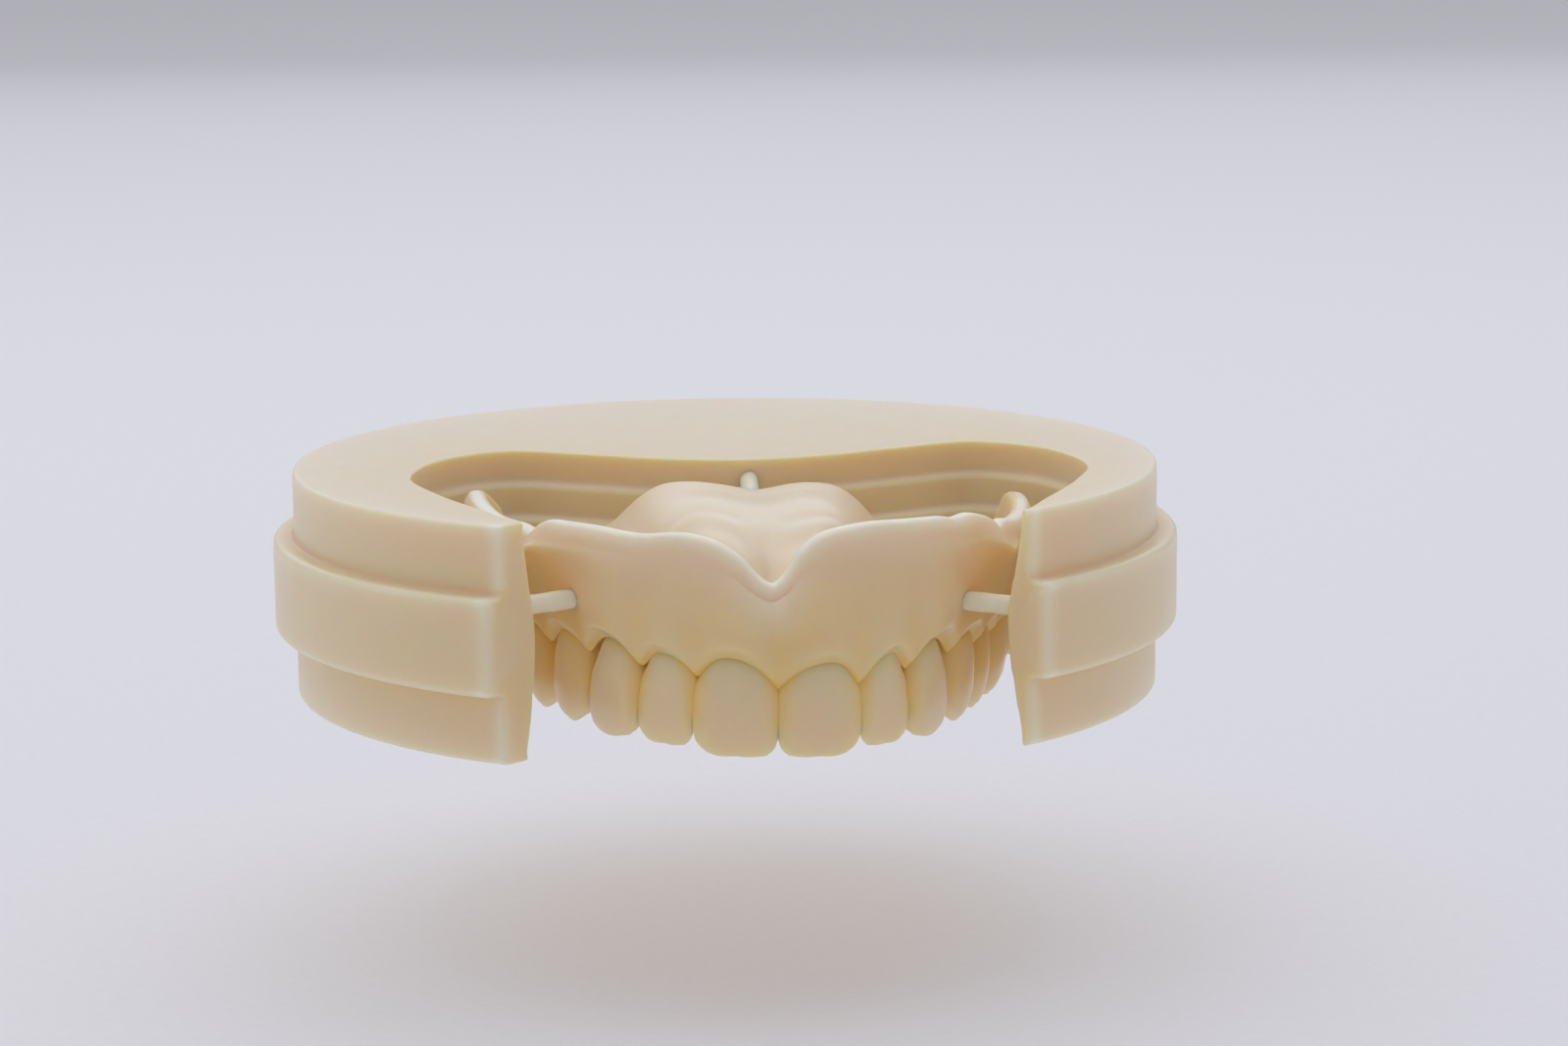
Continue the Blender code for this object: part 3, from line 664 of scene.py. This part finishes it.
def build_tooth(tooth, side, word, middle, look, place):
    name, width, _, tip, form, _ = tooth
    rings = []
    for shrink in np.linspace(0, 1, CAP_ROWS + 1)[1:-1] ** 0.8:
        across, out, x, y = crown_ring(tooth, 0.0, shrink)
        rings.append((across, out, tip + crown_relief(form, x, y, side), 0.0))
    for share in crown_shares():
        across, out, x, y = crown_ring(tooth, share)
        rings.append((across, out, lerp(tip + crown_relief(form, x, y, side), ROOT_END, share), share))
    points, painted_shade_and_highlight = [], []
    for across, out, z, share in rings:
        plan = crown_plan(middle, across, out)
        points.append(np.column_stack([plan, z]))
        # Painted shade on the crown: deep at the gum's edge and towards the neighbouring teeth, and lighter
        # over all of the back teeth, which lie in shade.
        s = middle + across
        gum = np.interp(s, MARGIN_STOPS, MARGIN_HEIGHTS)
        near_gum = np.exp(-np.clip(gum - z, 0, None) / 0.35)
        reach = 0.6 + 0.5 * smooth_step(0.3, 0.7, share)
        from_contact = width / 2 - abs(across)
        near_contact = 0.55 * np.exp(-((from_contact / reach) ** 2))
        near_contact += 0.5 * np.exp(-((from_contact / 1.5) ** 2))
        near_contact = near_contact * smooth_step(0.04, 0.35, share)
        enclosed = 0.45 * smooth_step(20, 30, abs(s)) * smooth_step(0.1, 0.5, share)
        painted_shade_and_highlight.append(np.clip(0.7 * near_gum + 0.85 * near_contact + enclosed, 0, 1))
    first = points[0].mean(axis=0)
    last = points[-1].mean(axis=0)
    grid = np.array(points)
    rows = len(grid)
    verts = np.vstack([grid.reshape(-1, 3), first, last])
    painted_shade = np.concatenate([np.array(painted_shade_and_highlight).ravel(), [0.0, 1.0]])
    faces = [face[::-1] for face in grid_faces(rows, CROWN_SIDES, closed_columns=True)]
    low, high = rows * CROWN_SIDES, rows * CROWN_SIDES + 1
    top = (rows - 1) * CROWN_SIDES
    for k in range(CROWN_SIDES):
        after = (k + 1) % CROWN_SIDES
        faces.append((low, after, k))
        faces.append((high, top + k, top + after))
    piece = mesh_piece(f"carved_{name}_{word}", verts, faces, look, place, painted_shade)
    stands_for(piece, f"{name}_{word}")


def build_teeth(look, place):
    edges = tooth_edges()
    for side, word in ((-1, "left"), (1, "right")):
        for tooth, low, high in zip(TEETH, edges, edges[1:]):
            build_tooth(tooth, side, word, side * (low + high) / 2, look, place)


# The base: sections across the arch, from the palate's midline out to the border.


def softened(values, width):
    """Values along the sections, smoothed over a width in millimetres."""
    steps = int(3 * width / SECTION_STEP) + 1
    kernel = np.exp(-0.5 * ((np.arange(-steps, steps + 1) * SECTION_STEP) / width) ** 2)
    kernel /= kernel.sum()
    return np.convolve(np.pad(values, steps, mode="edge"), kernel, mode="valid")


def section_stops():
    half = np.arange(0, ARCH_END - END_ROUNDING, SECTION_STEP)
    tail = ARCH_END - END_ROUNDING * (1 - np.sin(np.linspace(0, math.pi / 2, 14)))
    half = np.concatenate([half, tail])
    return np.concatenate([-half[:0:-1], half])


def across_tooth(s):
    """Where s lies on its tooth, from -1 at the side nearer the midline to 1, and that tooth's number."""
    edges = tooth_edges()
    number = int(np.clip(np.searchsorted(edges, abs(s), side="right") - 1, 0, len(TEETH) - 1))
    low, high = edges[number], edges[number + 1]
    return float(np.clip(2 * (abs(s) - low) / (high - low) - 1, -1, 1)), number


def margin_height(s):
    """The height of the gum's edge: high in the middle of a tooth, low between two teeth."""
    across, _ = across_tooth(s)
    shift = across - ZENITH_SHIFT
    away = shift / (1 - ZENITH_SHIFT) if shift > 0 else -shift / (1 + ZENITH_SHIFT)
    return lerp(along(ZENITH_HEIGHT, s), along(PAPILLA_HEIGHT, s), away**2.2)


def spine_place(u):
    return np.stack([np.zeros_like(u), lerp(SPINE_FRONT, SPINE_BACK, u**1.48)], axis=-1)


def face_offset(s, height, start, reach, heading):
    """How far out the teeth's front faces lie at a height, measured along a section of the base."""
    edges = tooth_edges()
    side = 1 if s >= 0 else -1
    found = -9.0
    _, number = across_tooth(s)
    for k in range(max(0, number - 1), min(len(TEETH), number + 2)):
        tooth = TEETH[k]
        middle = side * (edges[k] + edges[k + 1]) / 2
        share = float(np.clip((height - tooth[3]) / (ROOT_END - tooth[3]), 0, 1))
        across, out, _, _ = crown_ring(tooth, share)
        ring = crown_plan(middle, across, out) - start
        normal = np.array((-heading[1], heading[0]))
        away, ahead = ring @ normal, ring @ heading
        for i in range(len(ring)):
            j = (i + 1) % len(ring)
            if away[i] * away[j] < 0:
                share_in = away[i] / (away[i] - away[j])
                found = max(found, lerp(ahead[i], ahead[j], share_in) - reach)
    return found


MARGIN_STOPS = section_stops()
MARGIN_HEIGHTS = softened(np.array([margin_height(s) for s in MARGIN_STOPS]), 0.45)


def base_relief(x, y):
    """The soft tissue's folds on the palate: lobes, a shallow furrow and the rugae at the front."""
    lobes = 0.3 * np.exp(-(((abs(x - 0.4) - 5.6) / 3.0) ** 2) - ((y + 13.0) / 3.4) ** 2)
    furrow = -0.3 * np.exp(-(((x - 1.0) / 2.4) ** 2)) * smooth_step(-21, -15, y)
    bent = y - 0.28 * np.sqrt(x * x + 4) + 0.9 * np.sin(0.35 * x + 0.6)
    folds = np.sin(math.tau * bent / 4.4) * smooth_step(-29, -25, y) * (1 - smooth_step(-17.5, -15, y))
    folds *= smooth_step(1.2, 3.2, abs(x)) * (1 - smooth_step(9.0, 12.5, abs(x)))
    return lobes + furrow + 0.13 * folds


TOP_STEPS = [2, 3] + [6] * 6 + [5] * 5 + [6] * 4
UNDER_STEPS = [5] * 5 + [3] * 3 + [5] * 4 + [4] * 3 + [4] * 6


def base_controls():
    """The control points of every section's top and underside, as (offset from the arch, height)."""
    tops, unders = [], []
    u = abs(MARGIN_STOPS) / ARCH_END
    starts = spine_place(u)
    ends = arch_place(MARGIN_STOPS)
    reaches = np.linalg.norm(ends - starts, axis=1)
    headings = (ends - starts) / reaches[:, None]
    faces = [
        face_offset(s, gum, start, reach, heading)
        for s, gum, start, reach, heading in zip(MARGIN_STOPS, MARGIN_HEIGHTS, starts, reaches, headings)
    ]
    gums = np.array([along(GUM_OFFSET, abs(s)) for s in MARGIN_STOPS])
    faces = softened(np.maximum(faces, gums - 1.5), 0.9)
    places = [across_tooth(s) for s in MARGIN_STOPS]
    bulges = [TEETH[number][5] * (1 + math.cos(math.pi * across)) - 0.25 for across, number in places]
    bulges = softened(np.array(bulges), 1.0)
    for i, s in enumerate(MARGIN_STOPS):
        goal, reach = abs(s), reaches[i]
        palate = along(PALATE_HEIGHT, starts[i][1])
        border, edge = along(BORDER_OFFSET, goal), along(BORDER_HEIGHT, s)
        trough, floor = along(TROUGH_OFFSET, goal), along(TROUGH_HEIGHT, goal)
        palatal, zenith = along(PALATAL_OFFSET, goal), along(ZENITH_HEIGHT, s)
        face, gum, lip = faces[i], MARGIN_HEIGHTS[i], gums[i]
        bulge = bulges[i]
        cheek = 0.9 * math.exp(-(((goal - 29) / 4.5) ** 2))
        thick = BORDER_THICKNESS
        inner = border - thick / 2
        top = [(-reach, palate)]
        top += [(lerp(-reach, trough, away), lerp(floor, palate, high)) for away, high in TOP_SLOPE]
        top += [
            (lerp(trough, inner, 0.3), floor + 0.1),
            (lerp(trough, inner, 0.65), floor + 0.9),
            (inner - 0.25, lerp(floor, edge, 0.38)),
            (inner - 0.05, lerp(floor, edge, 0.72)),
            (border - 0.48 * thick, edge - 1.3),
            (border - 0.41 * thick, edge - 0.42),
            (border - 0.24 * thick, edge - 0.05),
            (border, edge),
        ]
        ceiling = palate - PLATE_THICKNESS - BACK_THICKENING * float(smooth_step(0.7, 0.95, u[i]))
        under = [(-reach, ceiling)]
        under += [(lerp(-reach, palatal, away), lerp(9.3, ceiling, high)) for away, high in UNDER_SLOPE]
        outer = border + thick / 2
        drop = min(1.0, (edge - zenith) / 9)
        under += [
            (palatal + 1.3, 8.2),
            (lerp(palatal, lip, 0.55), 8.4),
            (face - 1.4, gum + 0.3),
            (face - 0.2, gum - 0.16),
            (face + 0.05, gum + 0.14),
            (lerp(face + 0.25, lip + 0.2 * bulge, 0.3), gum + 0.7),
            (lerp(face + 0.35, lip + bulge, 0.75), lerp(gum, zenith, 0.6) + 1.2),
            (lerp(lip, outer, 0.12) + bulge, lerp(zenith, edge, 0.3)),
            (lerp(lip, outer, 0.5) + 0.1 + 0.7 * bulge + 0.6 * cheek, lerp(zenith, edge, 0.54)),
            (outer + 0.3 + 0.15 * bulge + cheek, lerp(zenith, edge, 0.76)),
            (border + 0.52 * thick + 0.5 * cheek, edge - 2.0 * drop),
            (border + 0.46 * thick, edge - 1.1 * drop),
            (border + 0.37 * thick, edge - 0.58 * drop),
            (border + 0.28 * thick, edge - 0.24 * drop),
            (border + 0.15 * thick, edge - 0.05 * drop),
            (border, edge),
        ]
        tops.append(top)
        unders.append(under)
    return np.array(tops), np.array(unders), reaches


def painted_shade_and_rim_highlight(height):
    """The painted shade and painted highlight values of the base's outer face.

    Painted shade is high at the gum's edge, between the roots, by the cuts, at the middle and lower down; a
    pale painted highlight makes them negative along the rim.
    """
    gum = MARGIN_HEIGHTS[:, None]
    edge = np.array([along(BORDER_HEIGHT, s) for s in MARGIN_STOPS])[:, None]
    between = abs(np.array([across_tooth(s)[0] for s in MARGIN_STOPS]))[:, None] ** 3
    lower = 1 - smooth_step(edge - 7, edge - 2, height)
    by_cuts = smooth_step(20, 29, abs(MARGIN_STOPS))[:, None] * (1 - smooth_step(edge - 4, edge - 1, height))
    at_gum = 0.8 * np.exp(-abs(height - gum) / 0.4)
    papilla = 0.5 * between * np.exp(-np.clip(height - gum, 0, None) / 1.5)
    roots = 0.32 * between * np.exp(-(((height - gum - 3.5) / 2.2) ** 2))
    below = np.clip(edge - height, 0, None)
    rim = 0.45 * np.exp(-below / 0.8) + 0.45 * np.exp(-below / 3.0)
    centre = 0.2 * np.exp(-((MARGIN_STOPS / 7) ** 2))[:, None]
    return np.clip(at_gum + papilla + roots + (0.14 + centre) * lower + 0.5 * by_cuts - rim, -1, 1)


def build_base(look, place):
    tops, unders, reaches = base_controls()
    halves = [smooth_curves(tops, TOP_STEPS), smooth_curves(unders, UNDER_STEPS)]
    left = (ARCH_END - abs(MARGIN_STOPS)) / END_ROUNDING
    # The last section stays a little open, so that top and underside don't fold onto each other.
    keep = np.where(left >= 1, 1.0, np.sqrt(np.maximum(0.001, 1 - (1 - left) ** 2)))
    middle = (halves[0] + halves[1]) / 2
    halves = [lerp(middle, half, keep[:, None, None]) for half in halves]

    u = abs(MARGIN_STOPS) / ARCH_END
    starts, ends = spine_place(u), arch_place(MARGIN_STOPS)
    sheets = []
    for half in halves:
        across = 1 + half[:, :, 0] / reaches[:, None]
        plan = lerp(starts[:, None], ends[:, None], across[:, :, None])
        over_ridge = smooth_step(0.4, 0.8, across) * (1 - smooth_step(0.95, 1.15, across))
        plan[:, :, 1] += TUBEROSITY_BOW * smooth_step(0.8, 1.0, u)[:, None] * over_ridge
        sheets.append(np.dstack([plan, half[:, :, 1]]))
    from_spine = 1 + halves[0][:, :, 0] / reaches[:, None]
    on_palate = 1 - smooth_step(0.4, 0.52, from_spine)
    sheets[0][:, :, 2] += base_relief(sheets[0][:, :, 0], sheets[0][:, :, 1]) * on_palate * keep[:, None]

    loop = np.concatenate([sheets[0], sheets[1][:, -2:0:-1]], axis=1)
    loop = np.concatenate([loop, sheets[1][:, :1]], axis=1)
    sections, size = loop.shape[:2]
    outside = np.zeros((sections, size))
    outside[:, sheets[0].shape[1] - 4 :] = 1.0
    # Painted shade on the outer face, and a pale painted highlight on the palate towards its midline, where
    # it faces up.
    painted_shade_and_highlight = outside * painted_shade_and_rim_highlight(loop[:, :, 2])
    painted_shade_and_highlight[:, : sheets[0].shape[1]] -= 0.45 * (1 - smooth_step(0.15, 0.85, from_spine))
    faces = grid_faces(sections, size)
    faces += [tuple(range(size)), tuple((sections - 1) * size + j for j in reversed(range(size)))]
    piece = mesh_piece("milled_denture_base", loop.reshape(-1, 3), faces, look, place, painted_shade_and_highlight.ravel())
    stands_for(piece, "denture_base")


# The connector pins.


def build_pins(look):
    sides, rows = 36, 40
    for name, wall_end, base_end, radius in PINS:
        start, end = (Vector((x + MIDLINE_X, y, z)) for x, y, z in (wall_end, base_end))
        run = (end - start).normalized()
        side = run.cross(Vector((0, 0, 1))).normalized()
        up = side.cross(run)
        length = (end - start).length
        points, depth = [], []
        for i in range(rows):
            t = i / (rows - 1)
            # Painted shade at both ends, where the pin meets the wall and the base; the same values shorten
            # the light's spread inside there.
            depth += [max(math.exp(-t * length / 0.9), 0.4 * math.exp(-(1 - t) * length / 0.5))] * sides
            flare = 0.16 * math.exp(-t * length / 1.2) + 0.12 * math.exp(-(1 - t) * length / 0.8)
            for k in range(sides):
                turn = math.tau * k / sides
                dent = 0.03 * math.sin(3 * turn + 5 * t) + 0.02 * math.sin(17 * t + 2 * turn)
                reach = radius * (1 + flare + dent)
                around = side * math.cos(turn) + up * math.sin(turn)
                points.append(start + run * (t * length) + around * reach)
        faces = grid_faces(rows, sides, closed_columns=True)
        faces += [tuple(reversed(range(sides))), tuple((rows - 1) * sides + k for k in range(sides))]
        piece = mesh_piece(f"cut_{name}", points, faces, look, Matrix.Translation(DISC_AXIS), depth)
        stands_for(piece, name)


# The studio.


def build_floor(look):
    """A sweep: flat under the object, then a wide curve up behind it."""
    drop, flat, radius, width, rise = -0.028, 2.6, 1.6, 6.0, 2.0
    profile = [(-1.6, drop), (flat, drop)]
    for k in range(1, 33):
        turn = math.pi / 2 * k / 32
        profile.append((flat + radius * math.sin(turn), drop + radius * (1 - math.cos(turn))))
    profile.append((flat + radius, drop + radius + rise))
    points = [(x, y, z) for y, z in profile for x in (-width, width)]
    mesh = bpy.data.meshes.new("studio_sweep")
    mesh.from_pydata(points, [], grid_faces(len(profile), 2))
    mesh.materials.append(look)
    mesh.shade_smooth()
    floor = bpy.data.objects.new("studio_sweep", mesh)
    bpy.context.scene.collection.objects.link(floor)


def area_light(name, place, target, size, power, colour):
    data = bpy.data.lights.new(name, "AREA")
    data.shape = "RECTANGLE"
    data.size, data.size_y = size
    data.energy = power
    data.color = colour
    lamp = bpy.data.objects.new(name, data)
    lamp.location = place
    lamp.rotation_euler = (Vector(target) - Vector(place)).to_track_quat("-Z", "Y").to_euler()
    bpy.context.scene.collection.objects.link(lamp)


def build_lights():
    area_light("overhead_softbox", (-0.06, 0.2, 0.9), (0, 0.03, 0), (1.5, 1.3), 4.9, (0.96, 0.99, 1.06))
    area_light("rear_panel", (0.0, 1.5, 0.75), (0, 0.0, 0.02), (2.0, 0.8), 3.0, (0.93, 0.98, 1.1))
    area_light("left_panel", (-0.9, 0.1, 0.3), (0, 0, 0.01), (0.5, 0.6), 0.4, (1.0, 0.98, 0.96))
    area_light("right_panel", (0.9, 0.1, 0.3), (0, 0, 0.01), (0.5, 0.6), 0.3, (1.0, 0.98, 0.98))
    world = bpy.data.worlds.new("studio_air")
    world.use_nodes = True
    background = world.node_tree.nodes["Background"]
    background.inputs["Color"].default_value = (0.72, 0.735, 0.82, 1.0)
    background.inputs["Strength"].default_value = 0.53
    bpy.context.scene.world = world


def build_camera():
    """A long lens, ten degrees above the disc and a little left of its middle."""
    elevation, bearing, roll = (math.radians(a) for a in (10.01, 4.6, -0.512))
    level_share = math.cos(elevation)
    forward = Vector((
        level_share * math.sin(bearing), level_share * math.cos(bearing), -math.sin(elevation),
    ))
    right = forward.cross(Vector((0, 0, 1))).normalized()
    up = right.cross(forward)
    level = right * math.cos(roll) + up * math.sin(roll)
    upright = up * math.cos(roll) - right * math.sin(roll)
    place = (Vector((-26.41, -407.78, 89.06)) + DISC_AXIS) * METRES
    data = bpy.data.cameras.new("studio_camera")
    data.lens, data.sensor_width = 86.84, 36.0
    data.clip_start, data.clip_end = 0.01, 50.0
    camera = bpy.data.objects.new("studio_camera", data)
    camera.matrix_world = Matrix((level, upright, -forward)).transposed().to_4x4()
    camera.location = place
    bpy.context.scene.collection.objects.link(camera)
    bpy.context.scene.camera = camera


def main():
    # deep is the colour of the painted shade in grooves, creases and recesses.
    ivory, warm, deep = (0.87, 0.705, 0.43), (0.86, 0.685, 0.405), (1.0, 0.66, 0.2)
    ring_look = resin("disc_resin_look", ivory, warm, deep, 0.4, 0.02, 3.4)
    base_look = resin("base_resin_look", ivory, warm, deep, 0.38, 0.012)
    tooth_look = resin("tooth_resin_look", (0.865, 0.715, 0.45), (0.855, 0.695, 0.425), deep, 0.33, 0.006)
    build_camera()
    build_floor(floor_paper())
    build_lights()
    bpy.context.scene.view_settings.view_transform = "Standard"
    place = denture_matrix()
    build_ring(ring_look)
    build_base(base_look, place)
    build_teeth(tooth_look, place)
    build_pins(resin("pin_resin_look", (0.97, 0.9, 0.74), (0.96, 0.88, 0.7), deep, 0.42, 0.02, 0.9))


main()
